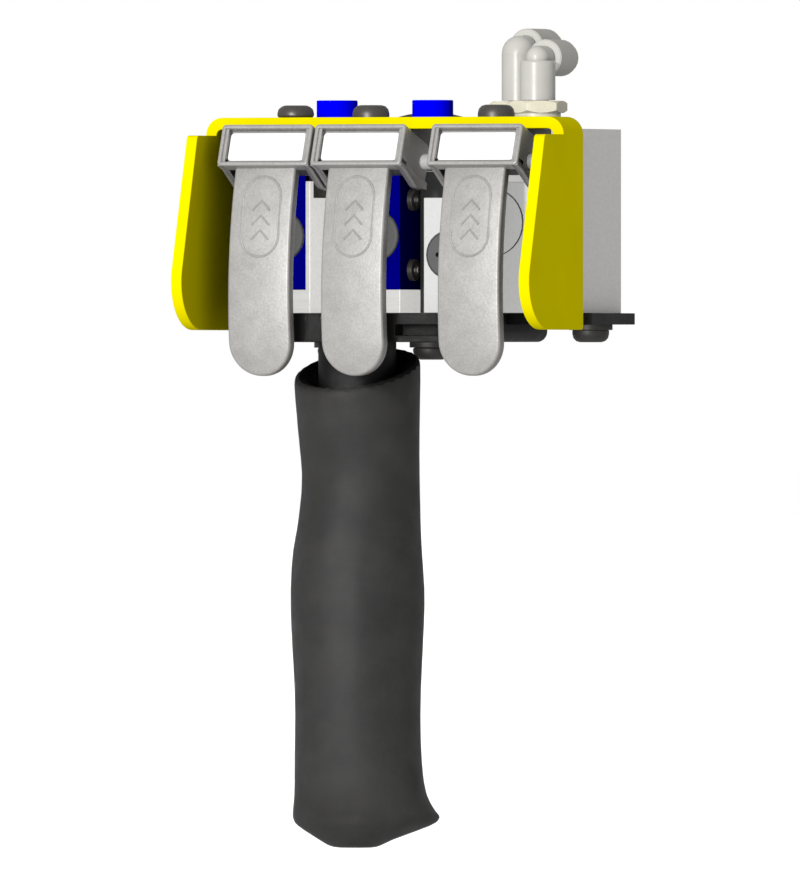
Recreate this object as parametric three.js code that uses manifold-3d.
// Three-lever pneumatic control handle.
// Millimetres, +Z up, levers facing -Y, +X to the operator's right.
// The origin is the centre of the manifold's rear face, where the handle bolts to its machine.

import * as THREE from 'three';
import { mergeVertices } from 'three/addons/utils/BufferGeometryUtils.js';
import Module from 'manifold-3d';

const wasm = await Module();
wasm.setup();

// ---------------------------------------------------------------- driving dimensions

const manifold = { width: 100, depth: 28, height: 50 };
const guard = {
  width: 107.2, thickness: 3.2, bendRadius: 4.9, frontY: -45.2, backY: -32.3,
  flangeTopY: -57.3, flangeFootY: -71.5, flangeBottomZ: -29.6, footRadius: 13, topRadius: 1.4,
};
const lever = {
  headWidth: 27.2, headHeight: 11.9, headDepth: 3.8, tilt: 19.7,
  footY: -55.9, footZ: 15.15,
  rim: 1.2, recess: 2.6,
  cheekDepth: 18.4, cheekThickness: 2.1, cheekRadius: 2.6, ribHeight: 2.5, ribProud: 0.8,
  bellyDepth: 12.6, belly: -2.1, heel: -0.95,
  paddleTopWidth: 17.9, paddleTipWidth: 18.3, paddleThickness: 3.2,
  paddleTipZ: -42.1, bowFrontY: -58.2, bowZ: -20, bowRadius: 127,
  bossRadius: 3.6, bossLength: 4.4,
};
const leverX = [-31.8, -3.9, 31];
const pivot = { y: -45.5, z: 16, radius: 2.2, clearance: 0.08 };
const pusherZ = [-4, -4, -0.5];
const button = { radius: 7.1, thickness: 1.2, frontY: -44.3, stemRadius: 2.5 };
const valve = { width: 12.6, frontY: -41.1, backY: -15.8, topZ: 13, bottomZ: -18.6, bore: 3.4 };
const valveX = [-31.9, -3.5];
const lock = { leftX: 10.4, rightX: 42.3, stepX: 20.6, frontY: -42.2, lowZ: 6.3, highZ: 10.5 };
const basePlate = { width: 108.4, thickness: 3.1 };
const flange = { leftX: -44, rightX: 28.9, frontY: -49, backY: -2, thickness: 4.7, edgeRadius: 3 };
const handle = { x: -17.3, y: -25.5, tubeRadius: 10.65, tubeWall: 2.1, topSlope: 0.346 };
const m6 = {
  shank: 3, headRadius: 5.05, headHeight: 3.3, crownRadius: 2.1, crownHeight: 2.3,
  washerRadius: 6, washerThickness: 1.5,
};
const fitting = {
  ringRadius: 6.3, ringHeight: 4.4, hexAcross: 14.2, hexHeight: 3.3,
  bodyRadius: 4.83, armRadius: 5, armStart: 4.4, tubeRadius: 3.05,
};

const halfHeight = manifold.height / 2;
const plateTopZ = halfHeight + guard.thickness;
const baseUndersideZ = -halfHeight - basePlate.thickness;
const flangeUndersideZ = baseUndersideZ - flange.thickness;
const runningGap = 0.3;

// ---------------------------------------------------------------- materials

const finish = {
  yellowPaint: [0xf2e500, 0.45, 0], castGrey: [0xcbc8c3, 0.55, 0.35], label: [0xffffff, 0.5, 0],
  aluminium: [0xdcdcd8, 0.4, 0.6], blueAnodised: [0x0a12e0, 0.4, 0.2], blackPaint: [0x232323, 0.6, 0],
  blackSteel: [0x57534e, 0.45, 0.7], steel: [0xb9b9b6, 0.3, 0.9], rubber: [0x3c3b39, 0.85, 0],
  greyPlastic: [0x77787a, 0.5, 0], whitePlastic: [0xe4e1da, 0.4, 0], nickel: [0xe8dfc8, 0.35, 0.6],
  limePlastic: [0xc6d84a, 0.5, 0],
};

// ---------------------------------------------------------------- solids

function solid(geometry) {
  const bare = geometry.clone();
  bare.deleteAttribute('normal');
  bare.deleteAttribute('uv');
  const merged = mergeVertices(bare, 1e-4);
  const places = merged.attributes.position.array;
  const index = merged.index.array;
  const faces = [];
  let volume = 0;
  for (let i = 0; i < index.length; i += 3) {
    const [a, b, c] = [index[i], index[i + 1], index[i + 2]];
    if (a === b || b === c || a === c) continue;
    faces.push(a, b, c);
    const corners = [a, b, c].map((n) => new THREE.Vector3().fromArray(places, 3 * n));
    volume += corners[0].dot(corners[1].cross(corners[2]));
  }
  if (volume < 0) faces.reverse();
  return new wasm.Manifold(new wasm.Mesh({
    numProp: 3, vertProperties: new Float32Array(places), triVerts: new Uint32Array(faces),
  }));
}

function geometryOf(body) {
  const mesh = body.getMesh();
  const geometry = new THREE.BufferGeometry();
  geometry.setAttribute('position', new THREE.BufferAttribute(new Float32Array(mesh.vertProperties), 3));
  geometry.setIndex(new THREE.BufferAttribute(new Uint32Array(mesh.triVerts), 1));
  geometry.computeVertexNormals();
  return geometry;
}

const join = (first, ...rest) => rest.reduce((body, next) => body.add(next), first);
const cut = (first, ...rest) => rest.reduce((body, next) => body.subtract(next), first);

function block(x0, x1, y0, y1, z0, z1) {
  const box = new THREE.BoxGeometry(x1 - x0, y1 - y0, z1 - z0);
  return solid(box.translate((x0 + x1) / 2, (y0 + y1) / 2, (z0 + z1) / 2));
}

// A turned body: the profile is [radius, distance along the axis] pairs, starting and ending on
// the axis, or a closed loop of such pairs for a ring.
const turnTo = {
  x: new THREE.Matrix4().makeBasis(
    new THREE.Vector3(0, 1, 0), new THREE.Vector3(1, 0, 0), new THREE.Vector3(0, 0, -1)),
  y: new THREE.Matrix4(),
  z: new THREE.Matrix4().makeBasis(
    new THREE.Vector3(1, 0, 0), new THREE.Vector3(0, 0, 1), new THREE.Vector3(0, -1, 0)),
};

function turned(axis, centre, profile, segments = 20) {
  const points = profile.map(([radius, along]) => new THREE.Vector2(radius, along));
  const geometry = new THREE.LatheGeometry(points, segments);
  return solid(geometry.applyMatrix4(turnTo[axis]).translate(...centre));
}

function rod(axis, centre, radius, from, to, segments = 20) {
  return turned(axis, centre, [[0, from], [radius, from], [radius, to], [0, to]], segments);
}

function ring(axis, centre, outer, inner, from, to, segments = 20) {
  const profile = [[inner, from], [outer, from], [outer, to], [inner, to], [inner, from]];
  return turned(axis, centre, profile, segments);
}

// Prisms of a flat outline: alongX takes a (Y, Z) outline, alongY an (X, Z) one.
function alongX(shape, x0, x1, curveSegments = 8) {
  const geometry = new THREE.ExtrudeGeometry(shape, { depth: x1 - x0, bevelEnabled: false, curveSegments });
  const basis = new THREE.Matrix4().makeBasis(
    new THREE.Vector3(0, 1, 0), new THREE.Vector3(0, 0, 1), new THREE.Vector3(1, 0, 0));
  return solid(geometry.applyMatrix4(basis).translate(x0, 0, 0));
}

function alongY(shape, y0, y1, curveSegments = 8) {
  const geometry = new THREE.ExtrudeGeometry(shape, { depth: y1 - y0, bevelEnabled: false, curveSegments });
  const basis = new THREE.Matrix4().makeBasis(
    new THREE.Vector3(1, 0, 0), new THREE.Vector3(0, 0, 1), new THREE.Vector3(0, -1, 0));
  return solid(geometry.applyMatrix4(basis).translate(0, y1, 0));
}

// A polygon whose corners are [u, v] or [u, v, radius]; a corner with a radius is rounded.
function outline(corners) {
  const shape = new THREE.Shape();
  corners.forEach(([u, v, radius = 0], i) => {
    const here = new THREE.Vector2(u, v);
    const before = new THREE.Vector2(...corners.at(i - 1).slice(0, 2)).sub(here).normalize();
    const after = new THREE.Vector2(...corners[(i + 1) % corners.length].slice(0, 2)).sub(here).normalize();
    const halfAngle = Math.acos(before.dot(after)) / 2;
    const reach = radius / Math.tan(halfAngle);
    const start = here.clone().addScaledVector(before, reach);
    const end = here.clone().addScaledVector(after, reach);
    if (i === 0) shape.moveTo(start.x, start.y);
    else shape.lineTo(start.x, start.y);
    if (radius === 0) return;
    const toCentre = before.clone().add(after).normalize();
    const centre = here.clone().addScaledVector(toCentre, radius / Math.sin(halfAngle));
    const a0 = Math.atan2(start.y - centre.y, start.x - centre.x);
    const a1 = Math.atan2(end.y - centre.y, end.x - centre.x);
    shape.absarc(centre.x, centre.y, radius, a0, a1, before.cross(after) > 0);
  });
  shape.closePath();
  return shape;
}

function roundedRectangle(width, height, radius) {
  const [w, h] = [width / 2, height / 2];
  return outline([[-w, -h, radius], [w, -h, radius], [w, h, radius], [-w, h, radius]]);
}

function screwHead(axis, centre, from, direction, head = m6) {
  const { headRadius, headHeight, crownRadius, crownHeight } = head;
  const profile = [[0, from], [headRadius, from]];
  for (let step = 0; step <= 3; step++) {
    const angle = (Math.PI / 6) * step;
    profile.push([
      headRadius - crownRadius * (1 - Math.cos(angle)),
      from + direction * (headHeight - crownHeight * (1 - Math.sin(angle))),
    ]);
  }
  profile.push([0, from + direction * headHeight]);
  return turned(axis, centre, profile);
}

// ---------------------------------------------------------------- assembly

const assembly = new THREE.Group();

function add(name, body, [color, roughness, metalness]) {
  const mesh = new THREE.Mesh(
    geometryOf(body), new THREE.MeshStandardMaterial({ color, roughness, metalness }));
  mesh.name = name;
  assembly.add(mesh);
}

// ---------------------------------------------------------------- housing

const guardScrewPlaces = [[-29, -40], [-6.4, -40], [31.1, -40]];
const bracketBoltZ = 16.4;
const bracketBoltRadius = 2;
const baseBoltPlaces = [[44.6, -8], [-3.2, -8], [-31.9, -8]];
const fittingPlaces = [[34, -19.4], [22.8, -7.1]];
const knobPlaces = [[-24.7, -22.6], [4, -22.6]];
const capPlace = [-2.7, -9.3];
const knobNeedle = { radius: 1.5, depth: 7 };

function guardBody() {
  const half = guard.width / 2;
  const { thickness, bendRadius, frontY, backY, flangeBottomZ } = guard;
  const inner = bendRadius - thickness;
  const top = outline([
    [-half, plateTopZ - bendRadius], [-half, plateTopZ, bendRadius], [half, plateTopZ, bendRadius],
    [half, plateTopZ - bendRadius], [half - thickness, plateTopZ - bendRadius],
    [half - thickness, halfHeight, inner], [thickness - half, halfHeight, inner],
    [thickness - half, plateTopZ - bendRadius],
  ]);
  const side = outline([
    [backY, plateTopZ - bendRadius], [guard.flangeTopY, plateTopZ - bendRadius, guard.topRadius],
    [guard.flangeFootY, flangeBottomZ, guard.footRadius], [backY, flangeBottomZ, 1],
  ]);
  const holes = guardScrewPlaces.map(([x, y]) => rod('z', [x, y, 0], m6.shank + 0.2, halfHeight - 1, plateTopZ + 1));
  return cut(join(
    alongY(top, frontY, backY, 5), alongX(side, -half, thickness - half, 6),
    alongX(side, half - thickness, half, 6)), ...holes);
}

function manifoldBody() {
  const { width, depth } = manifold;
  const holes = [];
  for (const x of valveX) {
    const half = valve.width / 2 + runningGap;
    holes.push(block(x - half, x + half, -depth - 1, valve.backY + runningGap,
      valve.bottomZ - runningGap, valve.topZ + runningGap));
  }
  for (const x of leverX) {
    holes.push(rod('y', [x, 0, bracketBoltZ], bracketBoltRadius + 0.15, -depth - 1, 1, 16));
    holes.push(rod('y', [x, 0, bracketBoltZ], 3.8, -4.6, 1, 20));
  }
  for (const [x, y] of baseBoltPlaces) {
    holes.push(rod('z', [x, y, 0], m6.shank + 0.1, -halfHeight - 1, -halfHeight + 9, 20));
  }
  for (const [x, y] of fittingPlaces) {
    holes.push(rod('z', [x, y, 0], 4.6, halfHeight - 6.2, halfHeight + 1));
  }
  for (const [x, y] of knobPlaces) {
    holes.push(rod('z', [x, y, 0], knobNeedle.radius + 0.1, halfHeight - knobNeedle.depth - 0.5, halfHeight + 1, 16));
  }
  holes.push(rod('z', [...capPlace, 0], 3.1, halfHeight - 2.5, halfHeight + 1, 16));
  return cut(block(-width / 2, width / 2, -depth, 0, -halfHeight, halfHeight), ...holes);
}

add('guard', guardBody(), finish.yellowPaint);
add('manifold', manifoldBody(), finish.aluminium);

const baseHoles = (places, low, high) =>
  places.map(([x, y]) => rod('z', [x, y, 0], m6.shank + 0.2, low, high, 20));
add('base_plate', cut(
  block(-basePlate.width / 2, basePlate.width / 2, -manifold.depth, 0, baseUndersideZ, -halfHeight),
  ...baseHoles(baseBoltPlaces, baseUndersideZ - 1, -halfHeight + 1)), finish.blackPaint);

function handleFlangeBody() {
  const { leftX, rightX, frontY, backY, edgeRadius } = flange;
  const slab = outline([
    [leftX, flangeUndersideZ, edgeRadius], [rightX, flangeUndersideZ, edgeRadius],
    [rightX, baseUndersideZ], [leftX, baseUndersideZ],
  ]);
  const grooveDepth = 5;
  return cut(
    join(alongY(slab, frontY, backY, 6),
      block(leftX, rightX, frontY, -manifold.depth - runningGap, baseUndersideZ - 0.5, -halfHeight)),
    block(5, rightX + 1, frontY - 1, frontY + grooveDepth, baseUndersideZ - 3, baseUndersideZ),
    ...baseHoles(baseBoltPlaces.slice(1), flangeUndersideZ - 1, baseUndersideZ + 1));
}

add('handle_flange', handleFlangeBody(), finish.blackPaint);

guardScrewPlaces.forEach(([x, y], i) => {
  const shank = rod('z', [x, y, 0], m6.shank, halfHeight - 7, plateTopZ + 0.5, 16);
  const socket = rod('z', [x, y, 0], 2, plateTopZ + 1.2, plateTopZ + 5, 6);
  add(`guard_screw_${i + 1}`, cut(join(shank, screwHead('z', [x, y, 0], plateTopZ, 1)), socket), finish.blackSteel);
});

baseBoltPlaces.forEach(([x, y], i) => {
  const seat = i === 0 ? baseUndersideZ : flangeUndersideZ;
  const under = seat - m6.washerThickness;
  const shank = rod('z', [x, y, 0], m6.shank, under - 0.5, -halfHeight + 8, 16);
  const socket = rod('z', [x, y, 0], 2, under - 5, under - 1.2, 6);
  add(`base_screw_${i + 1}`, cut(join(shank, screwHead('z', [x, y, 0], under, -1)), socket), finish.blackSteel);
  add(`base_washer_${i + 1}`, ring('z', [x, y, 0], m6.washerRadius, m6.shank + 0.2, under, seat), finish.steel);
});

// ---------------------------------------------------------------- handle tube and grip

const gripTopZ = -39.8;
const gripBottomZ = -170.5;
const gripBoreDepthZ = -152;
add('handle_tube', ring('z', [handle.x, handle.y, 0], handle.tubeRadius, handle.tubeRadius - handle.tubeWall,
  gripBoreDepthZ + 0.4, flangeUndersideZ, 32), finish.blackSteel);

// Grip stations from the top rim to the foot: [height, radius, centre's shift to the rear].
const gripStations = [
  [gripTopZ, 16.8, 0], [-41, 17.4, 0], [-59.8, 16.5, 1.3], [-70.4, 16.1, 2.4], [-82.9, 16.9, 1.2],
  [-90, 17.7, 0.1], [-101.7, 18.4, 0.2], [-113.9, 18, 0.2], [-130.2, 17.2, 0.4], [-145.7, 17.4, 0.5],
  [-156, 18.1, 2], [-160.4, 19.5, 4.3], [-162.3, 20.4, 6.2], [-164.3, 19.1, 5], [-168.6, 9.2, -1.8],
  [gripBottomZ, 6.2, -1.6],
];

function gripBody() {
  const around = 32;
  const bore = handle.tubeRadius + 0.05;
  const middle = new THREE.CatmullRomCurve3(
    gripStations.slice(1, -4).map((station) => new THREE.Vector3(...station)), false, 'centripetal');
  const rings = [gripStations[0], ...middle.getPoints(22).map((point) => point.toArray()), ...gripStations.slice(-4)]
    .map(([z, radius, shift]) => {
      const slope = handle.topSlope * THREE.MathUtils.clamp((z + 66) / 25, 0, 1);
      return { z, radius, shift, slope };
    });
  rings.unshift({ z: gripTopZ + 0.1, radius: bore, shift: 0, slope: handle.topSlope });
  rings.unshift({ z: gripBoreDepthZ, radius: bore, shift: 0, slope: 0 });
  const places = [];
  for (const { z, radius, shift, slope } of rings) {
    for (let i = 0; i < around; i++) {
      const angle = (2 * Math.PI * i) / around;
      const y = radius * Math.sin(angle) + shift;
      places.push(handle.x + radius * Math.cos(angle), handle.y + y, z + slope * y);
    }
  }
  const boreCentre = places.length / 3;
  places.push(handle.x, handle.y, gripBoreDepthZ);
  places.push(handle.x, handle.y, gripBottomZ);
  const faces = [];
  const last = (rings.length - 1) * around;
  for (let i = 0; i < around; i++) {
    const j = (i + 1) % around;
    faces.push(boreCentre, i, j, boreCentre + 1, last + j, last + i);
    for (let r = 0; r < rings.length - 1; r++) {
      const [a, b] = [r * around, (r + 1) * around];
      faces.push(a + i, b + i, b + j, a + i, b + j, a + j);
    }
  }
  const geometry = new THREE.BufferGeometry();
  geometry.setAttribute('position', new THREE.BufferAttribute(new Float32Array(places), 3));
  geometry.setIndex(faces);
  return solid(geometry);
}

add('grip', gripBody(), finish.rubber);

// ---------------------------------------------------------------- levers

const tilt = THREE.MathUtils.degToRad(lever.tilt);
// Head coordinates: n runs into the lever, square to its face, and u runs up the face.
const headToPart = new THREE.Matrix4().makeTranslation(0, lever.footY, lever.footZ)
  .multiply(new THREE.Matrix4().makeRotationX(-tilt));

function headBlock(x0, x1, n0, n1, u0, u1) {
  const box = new THREE.BoxGeometry(x1 - x0, n1 - n0, u1 - u0)
    .translate((x0 + x1) / 2, (n0 + n1) / 2, (u0 + u1) / 2);
  return solid(box.applyMatrix4(headToPart));
}

function headPrism(shape, x0, x1) {
  const geometry = new THREE.ExtrudeGeometry(shape, { depth: x1 - x0, bevelEnabled: false, curveSegments: 6 });
  const basis = new THREE.Matrix4().makeBasis(
    new THREE.Vector3(0, 1, 0), new THREE.Vector3(0, 0, 1), new THREE.Vector3(1, 0, 0));
  return solid(geometry.applyMatrix4(basis).translate(x0, 0, 0).applyMatrix4(headToPart));
}

const bowY = (z) => lever.bowFrontY + (z - lever.bowZ) ** 2 / (2 * lever.bowRadius);

function paddleBody(x) {
  const { paddleTopWidth, paddleTipWidth, paddleThickness, paddleTipZ, footZ } = lever;
  const tip = paddleTipWidth / 2;
  const shape = new THREE.Shape();
  shape.moveTo(x - paddleTopWidth / 2, footZ + 0.6);
  shape.lineTo(x - tip, paddleTipZ + tip);
  shape.absarc(x, paddleTipZ + tip, tip, Math.PI, 2 * Math.PI, false);
  shape.lineTo(x + paddleTopWidth / 2, footZ + 0.6);
  shape.closePath();
  const band = new THREE.Shape();
  const steps = 10;
  const [low, high] = [paddleTipZ - 2, footZ + 1];
  const heights = Array.from({ length: steps + 1 }, (_, i) => low + (i * (high - low)) / steps);
  heights.forEach((z, i) => (i ? band.lineTo(bowY(z), z) : band.moveTo(bowY(z), z)));
  heights.reverse().forEach((z) => band.lineTo(bowY(z) + paddleThickness, z));
  band.closePath();
  return alongY(shape, -66, -46, 8).intersect(alongX(band, x - 12, x + 12));
}

function leverBody(x, pushZ, pinHoleEnd) {
  const { headWidth, headHeight, headDepth, rim, recess } = lever;
  const { cheekDepth, cheekThickness, cheekRadius, ribHeight, ribProud, bellyDepth, belly, heel } = lever;
  const half = headWidth / 2;
  const cheek = outline([
    [0.5, 0], [headDepth, 0], [bellyDepth, belly, 2], [cheekDepth, heel, 0.4],
    [cheekDepth, headHeight, cheekRadius], [0.5, headHeight],
  ]);
  const rib = outline([
    [0.5, 0], [headDepth, 0], [bellyDepth, belly, 2], [cheekDepth, heel, 0.4],
    [cheekDepth, heel + ribHeight, 0.4], [bellyDepth, belly + ribHeight], [headDepth, ribHeight], [0.5, ribHeight],
  ]);
  const bossBack = bowY(pushZ) + lever.paddleThickness;
  const body = join(
    headBlock(x - half, x + half, 0, headDepth, 0, headHeight),
    headPrism(cheek, x - half + ribProud, x - half + cheekThickness),
    headPrism(cheek, x + half - cheekThickness, x + half - ribProud),
    headPrism(rib, x - half, x - half + cheekThickness),
    headPrism(rib, x + half - cheekThickness, x + half),
    paddleBody(x),
    rod('y', [x, 0, pushZ], lever.bossRadius, bossBack - 1.5, bossBack + lever.bossLength));
  return cut(body,
    headBlock(x - half + rim, x + half - rim, -1, recess, rim, headHeight - rim),
    rod('x', [0, pivot.y, pivot.z], pivot.radius + pivot.clearance, x - half - 1, pinHoleEnd, 16),
    rod('y', [x, 0, pushZ], 2.1, bossBack - 0.6, bossBack + 8, 16));
}

const labelSize = { width: 22.7, height: 8, thickness: 0.8, radius: 1 };

function labelBody(x) {
  const { width, height, thickness, radius } = labelSize;
  const plate = new THREE.ExtrudeGeometry(roundedRectangle(width, height, radius),
    { depth: thickness, bevelEnabled: false, curveSegments: 4 });
  const basis = new THREE.Matrix4().makeBasis(
    new THREE.Vector3(1, 0, 0), new THREE.Vector3(0, 0, 1), new THREE.Vector3(0, -1, 0));
  plate.applyMatrix4(basis).translate(x, lever.recess - 0.1, lever.headHeight / 2);
  return solid(plate.applyMatrix4(headToPart));
}

function padBody(x, pushZ) {
  const bossBack = bowY(pushZ) + lever.paddleThickness;
  const tip = button.frontY - 0.2;
  return turned('y', [x, 0, pushZ], [
    [0, bossBack - 0.4], [2, bossBack - 0.4], [2, tip - 2.4], [3, tip - 2.4], [3, tip - 1], [1.8, tip], [0, tip],
  ], 16);
}

function bracketBody(x) {
  const half = lever.headWidth / 2 - lever.cheekThickness - 0.45;
  const [bottom, nose] = [13.6, 3.7];
  const shape = new THREE.Shape();
  shape.moveTo(-manifold.depth, halfHeight);
  shape.lineTo(-manifold.depth, bottom);
  shape.lineTo(-41.9, bottom);
  shape.absarc(pivot.y, pivot.z, nose, -0.6, -Math.PI * 1.2, true);
  shape.lineTo(-44.9, halfHeight);
  shape.closePath();
  const screw = guardScrewPlaces[leverX.indexOf(x)];
  return cut(alongX(shape, x - half, x + half, 12),
    rod('x', [0, pivot.y, pivot.z], pivot.radius + 0.02, x - half - 1, x + half + 1, 20),
    rod('z', [...screw, 0], m6.shank + 0.1, halfHeight - 7.5, halfHeight + 1, 16),
    rod('y', [x, 0, bracketBoltZ], bracketBoltRadius + 0.1, -36.4, -manifold.depth + 1, 16));
}

const blindWall = lever.ribProud + 0.4;
leverX.forEach((x, i) => {
  const pinHoleEnd = i === 1 ? x + lever.headWidth / 2 - blindWall : x + lever.headWidth;
  add(`lever_${i + 1}`, leverBody(x, pusherZ[i], pinHoleEnd), finish.castGrey);
  add(`lever_label_${i + 1}`, labelBody(x), finish.label);
  add(`lever_pad_${i + 1}`, padBody(x, pusherZ[i]), finish.steel);
  add(`lever_bracket_${i + 1}`, bracketBody(x), finish.greyPlastic);
  const shank = rod('y', [x, 0, bracketBoltZ], bracketBoltRadius, -36, -4.5, 16);
  const head = rod('y', [x, 0, bracketBoltZ], 3.5, -4.6, -0.6, 20);
  const socket = rod('y', [x, 0, bracketBoltZ], 1.7, -3, 0, 6);
  add(`bracket_bolt_${i + 1}`, cut(join(shank, head), socket), finish.blackSteel);
});

function pinBody(fromX, toX) {
  const { radius } = pivot;
  return turned('x', [0, pivot.y, pivot.z], [
    [0, fromX], [radius * 0.7, fromX], [radius, fromX + 0.8], [radius, toX - 0.5], [radius * 0.8, toX], [0, toX],
  ], 20);
}

const pinOverhang = 6.1;
const headEdge = lever.headWidth / 2;
add('pivot_pin_left', pinBody(leverX[0] - headEdge + 0.2, leverX[1] + headEdge - blindWall - 0.1), finish.steel);
add('pivot_pin_right', pinBody(leverX[2] - headEdge - pinOverhang, leverX[2] + headEdge + 2), finish.steel);

// ---------------------------------------------------------------- valves

const springStart = -22.8;
const springEnd = -17.6;
const sideScrewY = -33.5;
const sideScrewHeights = [5.8, -13.3];
const sideScrew = { shank: 1.5, headRadius: 3, sunk: 1.6, headHeight: 3 };

function springBody(x, z, radius, from, to, wire, turns) {
  const steps = turns * 8;
  const points = Array.from({ length: steps + 1 }, (_, i) => {
    const angle = (2 * Math.PI * turns * i) / steps;
    const along = from + wire + ((to - from - 2 * wire) * i) / steps;
    return new THREE.Vector3(x + radius * Math.cos(angle), along, z + radius * Math.sin(angle));
  });
  const section = new THREE.Shape();
  section.absarc(0, 0, wire, 0, 2 * Math.PI, false);
  return solid(new THREE.ExtrudeGeometry(section, {
    steps, extrudePath: new THREE.CatmullRomCurve3(points), bevelEnabled: false, curveSegments: 2,
  }));
}

valveX.forEach((x, i) => {
  const n = i + 1;
  const z0 = pusherZ[i];
  const half = valve.width / 2;
  const side = i === 0 ? -1 : 1;
  const headFace = x + side * half;
  const screwHoles = sideScrewHeights.flatMap((z) => [
    rod('x', [0, sideScrewY, z], sideScrew.shank + 0.15, x - half - 1, x + half + 1, 12),
    rod('x', [0, sideScrewY, z], sideScrew.headRadius + 0.15,
      Math.min(headFace - side * sideScrew.sunk, headFace + side), Math.max(headFace - side * sideScrew.sunk, headFace + side), 20),
  ]);
  add(`valve_body_${n}`, cut(
    block(x - half, x + half, valve.frontY, valve.backY, valve.bottomZ, valve.topZ),
    rod('y', [x, 0, z0], valve.bore, valve.frontY - 1, springEnd + 0.1), ...screwHoles), finish.blueAnodised);
  const discBack = button.frontY + button.thickness;
  add(`valve_button_${n}`, turned('y', [x, 0, z0], [
    [0, button.frontY], [button.radius - 0.5, button.frontY], [button.radius, button.frontY + 0.4],
    [button.radius, discBack], [button.stemRadius, discBack], [button.stemRadius, -33], [0, -33],
  ], 28), finish.greyPlastic);
  add(`valve_spool_${n}`, turned('y', [x, 0, z0], [
    [0, -33], [3.3, -33], [3.3, -31], [1.8, -30.4], [1.8, -27.6], [3.3, -27], [3.3, springStart], [0, springStart],
  ], 20), finish.steel);
  add(`valve_spring_${n}`, springBody(x, z0, 2.2, springStart + 0.15, springEnd - 0.15, 0.35, 3), finish.steel);
  sideScrewHeights.forEach((z, k) => {
    const tip = x - side * (half - 0.2);
    const seat = headFace - side * sideScrew.sunk;
    const end = seat + side * sideScrew.headHeight;
    const shank = rod('x', [0, sideScrewY, z], sideScrew.shank, Math.min(tip, seat + side * 0.5), Math.max(tip, seat + side * 0.5), 12);
    const head = rod('x', [0, sideScrewY, z], sideScrew.headRadius, Math.min(seat, end), Math.max(seat, end), 20);
    const socket = rod('x', [0, sideScrewY, z], 1.4, Math.min(end - side * 1.5, end + side), Math.max(end - side * 1.5, end + side), 6);
    add(`valve_screw_${n}${k ? 'b' : 'a'}`, cut(join(shank, head), socket), finish.blackSteel);
  });
  const wallFace = x - side * half;
  const wallOuter = wallFace - side * 1.4;
  const [wall0, wall1] = [Math.min(wallFace, wallOuter), Math.max(wallFace, wallOuter)];
  const wall = outline([
    [valve.frontY, -halfHeight], [-manifold.depth - runningGap, -halfHeight],
    [-manifold.depth - runningGap, 6.4], [valve.frontY + 2.4, 6.4], [valve.frontY + 2.4, 10.9], [valve.frontY, 10.9],
  ]);
  const footEdge = headFace;
  add(`valve_bracket_${n}`, join(
    alongX(wall, wall0, wall1),
    block(Math.min(wallOuter, footEdge), Math.max(wallOuter, footEdge),
      valve.frontY, -manifold.depth - runningGap, -halfHeight, valve.bottomZ)), finish.aluminium);
});

// ---------------------------------------------------------------- lock valve under lever 3

const cartridge = { radius: 9.1, z: pusherZ[2], frontY: -42.8 };
const plugPlace = { x: 17.9, z: -9.2, radius: 6.6 };

function lockBody() {
  const { leftX, rightX, stepX, frontY, lowZ, highZ } = lock;
  const shape = outline([
    [leftX, -halfHeight], [rightX, -halfHeight], [rightX, highZ], [stepX, highZ], [stepX, lowZ], [leftX, lowZ],
  ]);
  const x = leverX[2];
  return cut(alongY(shape, frontY, -manifold.depth),
    rod('y', [x, 0, cartridge.z], cartridge.radius + 0.05, frontY - 1, -manifold.depth - 2, 32),
    rod('y', [plugPlace.x, 0, plugPlace.z], 4.9, frontY - 1, frontY + 6));
}

add('lock_valve_body', lockBody(), finish.aluminium);
add('lock_cartridge', cut(
  rod('y', [leverX[2], 0, cartridge.z], cartridge.radius, cartridge.frontY, -manifold.depth - 2.1, 32),
  rod('y', [leverX[2], 0, cartridge.z], 3.4, cartridge.frontY - 1, -31)), finish.aluminium);
add('lock_plunger', turned('y', [leverX[2], 0, cartridge.z], [
  [0, button.frontY], [2.9, button.frontY], [3.3, button.frontY + 0.4], [3.3, -38.5], [0, -38.5],
], 24), finish.greyPlastic);
add('lock_spring', springBody(leverX[2], cartridge.z, 2.3, -38.2, -31.3, 0.35, 4), finish.steel);
add('port_plug', cut(
  turned('y', [plugPlace.x, 0, plugPlace.z], [
    [0, -43.1], [plugPlace.radius - 0.6, -43.1], [plugPlace.radius, -42.7], [plugPlace.radius, lock.frontY],
    [4.8, lock.frontY], [4.8, lock.frontY + 5.6], [0, lock.frontY + 5.6],
  ], 28),
  rod('y', [plugPlace.x - 2.95, 0, plugPlace.z], 0.6, -44, -41.5, 8)), finish.greyPlastic);

// ---------------------------------------------------------------- top of the manifold

knobPlaces.forEach(([x, y], i) => {
  const [base, top] = [halfHeight + 0.3, 33];
  add(`flow_knob_${i + 1}`, cut(turned('z', [x, y, 0], [
    [0, halfHeight - knobNeedle.depth], [knobNeedle.radius, halfHeight - knobNeedle.depth + 1.4],
    [knobNeedle.radius, base], [5.6, base], [5.6, top], [0, top],
  ], 32), block(x - 4, x + 4, y - 0.5, y + 0.5, top - 1.2, top + 1)), finish.blueAnodised);
});

const dome = { radius: 9.2, sphere: 33, topZ: 29.8 };
const domeProfile = [[0, halfHeight - 2.2], [3, halfHeight - 2.2], [3, halfHeight], [dome.radius, halfHeight]];
for (let step = 3; step >= 0; step--) {
  const r = (dome.radius * step) / 3;
  domeProfile.push([r, dome.topZ - dome.sphere + Math.sqrt(dome.sphere ** 2 - r ** 2)]);
}
add('dome_cap', turned('z', [...capPlace, 0], domeProfile, 28), finish.blackPaint);

const hexBottom = halfHeight + fitting.ringHeight;
const hexTop = hexBottom + fitting.hexHeight;
const bodyBottom = hexTop + 0.2;

const hexTurn = 3.5;

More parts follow.
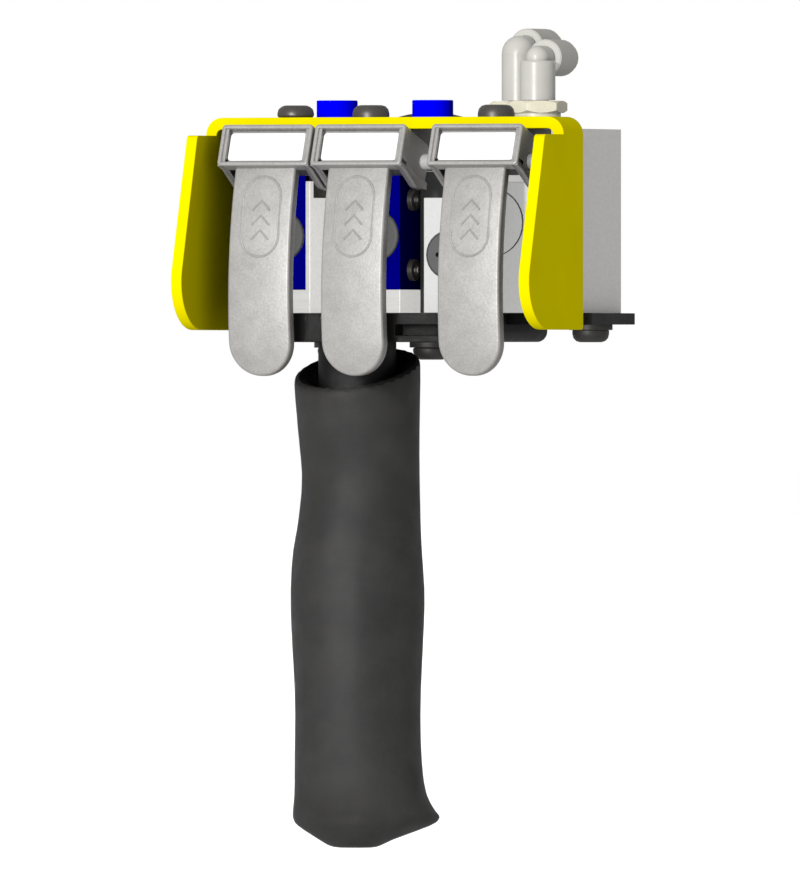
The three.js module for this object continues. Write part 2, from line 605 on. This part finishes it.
function fittingBase(x, y) {
  const hexRadius = fitting.hexAcross / Math.sqrt(3);
  const chamfered = turned('z', [x, y, 0], [
    [0, hexBottom], [hexRadius - 1.1, hexBottom], [hexRadius, hexBottom + 0.7],
    [hexRadius, hexTop - 0.7], [hexRadius - 1.1, hexTop], [0, hexTop],
  ], 24);
  const hex = rod('z', [0, 0, 0], hexRadius, hexBottom, hexTop, 6).rotate([0, 0, hexTurn]).translate([x, y, 0]);
  return cut(join(
    chamfered.intersect(hex),
    rod('z', [x, y, 0], fitting.ringRadius, halfHeight, hexBottom + 0.2, 24),
    rod('z', [x, y, 0], 4.5, halfHeight - 6, halfHeight + 0.5)),
  rod('z', [x, y, 0], 3.1, halfHeight - 7, hexTop + 1));
}

const elbows = [
  { name: 'right', armZ: 44.5, armEnd: 15.1, shoulderZ: 43.6, kneeZ: 44.5, kneeRadius: 3.2 },
  { name: 'left', armZ: 47.6, armEnd: 17.2, shoulderZ: 45.8, kneeZ: 45.8, kneeRadius: fitting.bodyRadius },
];
const neckRadius = 3.2;

function elbowBody(x, y, { armZ, armEnd, shoulderZ, kneeZ, kneeRadius }) {
  const { bodyRadius, armRadius, armStart } = fitting;
  const knee = solid(new THREE.SphereGeometry(kneeRadius, 20, 10).rotateX(Math.PI / 2).translate(x, y, kneeZ));
  const centre = [x, y, 0];
  const stem = turned('z', centre, [
    [0, bodyBottom], [bodyRadius, bodyBottom], [bodyRadius, shoulderZ - 0.5],
    [Math.min(bodyRadius, kneeRadius + 1.2), shoulderZ], [0, shoulderZ],
  ], 24);
  const arm = turned('y', [x, y, armZ], [
    [0, armStart], [armRadius - 0.4, armStart], [armRadius, armStart + 0.4], [armRadius, armEnd], [0, armEnd],
  ], 24);
  return cut(join(
    stem, knee, arm,
    rod('z', centre, 3, halfHeight + 0.5, bodyBottom + 0.5),
    rod('y', [x, y, armZ], neckRadius, 0, armStart + 0.5)),
  rod('z', centre, 1.8, halfHeight - 1, armZ, 12),
  rod('y', [x, y, armZ], 1.8, -0.1, armStart + 2, 12),
  rod('y', [x, y, armZ], 3.9, armStart + 1.6, armEnd + 1));
}

const collet = { outer: 3.84, flangeRadius: 4.4, flangeGap: 0.9, flangeThickness: 1.1 };

function colletBody(x, y, { armZ, armEnd }) {
  const { armStart, tubeRadius } = fitting;
  const flangeAt = armEnd + collet.flangeGap;
  return turned('y', [x, y, armZ], [
    [tubeRadius, armStart + 3], [collet.outer, armStart + 3], [collet.outer, flangeAt],
    [collet.flangeRadius, flangeAt], [collet.flangeRadius, flangeAt + collet.flangeThickness],
    [tubeRadius, flangeAt + collet.flangeThickness], [tubeRadius, armStart + 3],
  ]);
}

fittingPlaces.forEach(([x, y], i) => {
  const shape = elbows[i];
  add(`fitting_base_${shape.name}`, fittingBase(x, y), finish.nickel);
  add(`fitting_elbow_${shape.name}`, elbowBody(x, y, shape), finish.whitePlastic);
  add(`fitting_collet_${shape.name}`, colletBody(x, y, shape), finish.limePlastic);
});

export default assembly;
